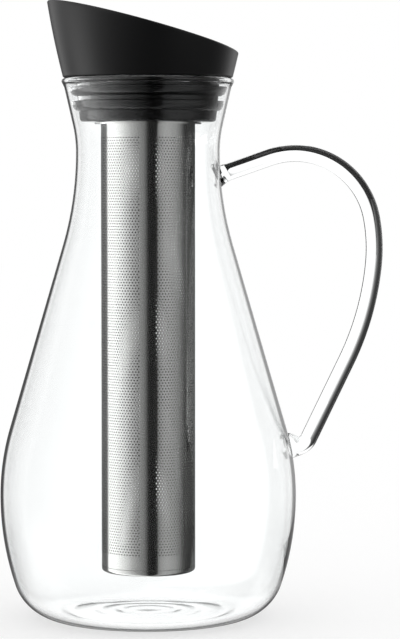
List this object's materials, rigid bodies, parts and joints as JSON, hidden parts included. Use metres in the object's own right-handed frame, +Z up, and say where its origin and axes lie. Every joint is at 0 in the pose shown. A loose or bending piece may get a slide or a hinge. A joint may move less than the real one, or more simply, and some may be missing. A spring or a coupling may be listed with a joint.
{
  "type": "iced tea carafe with infuser",
  "caption": "Glass iced tea maker: pear-shaped carafe with a glass handle, slanted black pouring lid with a tilting steel flap, and a hanging perforated steel infuser.",
  "frame": {"origin": "carafe axis at the face the carafe stands on", "axes": "+Z up along the carafe axis, +X towards the handle, -X towards the pouring spout"},
  "size_m": [0.1622, 0.124, 0.2574],
  "materials": {
    "borosilicate_glass": "clear, fire-polished",
    "black_plastic": "fine satin moulding",
    "black_silicone": "smooth semi-gloss",
    "stainless_steel": "polished sheet"
  },
  "bodies": {
    "carafe": {"carafe_body": "borosilicate_glass", "handle": "borosilicate_glass"},
    "lid": {"lid_collar": "black_plastic", "lid_plug": "black_plastic", "lip_sleeve": "black_silicone", "pour_insert": "black_plastic", "hinge_pin": "stainless_steel"},
    "flap": {"flap_disc": "stainless_steel", "flap_carrier": "black_plastic", "flap_weight": "stainless_steel"},
    "infuser": {"infuser_hanger": "stainless_steel", "infuser_tube": "stainless_steel", "infuser_base": "stainless_steel"}
  },
  "joints": [
    {"name": "lid_lift", "type": "slide", "parent": "carafe", "child": "lid", "axis": [0, 0, 1], "range_m": [0, 0.215]},
    {"name": "flap_tilt", "type": "hinge", "parent": "lid", "child": "flap", "pos_m": [0.0015, 0, 0.22716], "axis": [0, 1, 0], "range_deg": [0, 65]},
    {"name": "infuser_turn", "type": "hinge", "parent": "lid", "child": "infuser", "pos_m": [0, 0, 0.2], "axis": [0, 0, 1], "range_deg": [0, 30]}
  ]
}
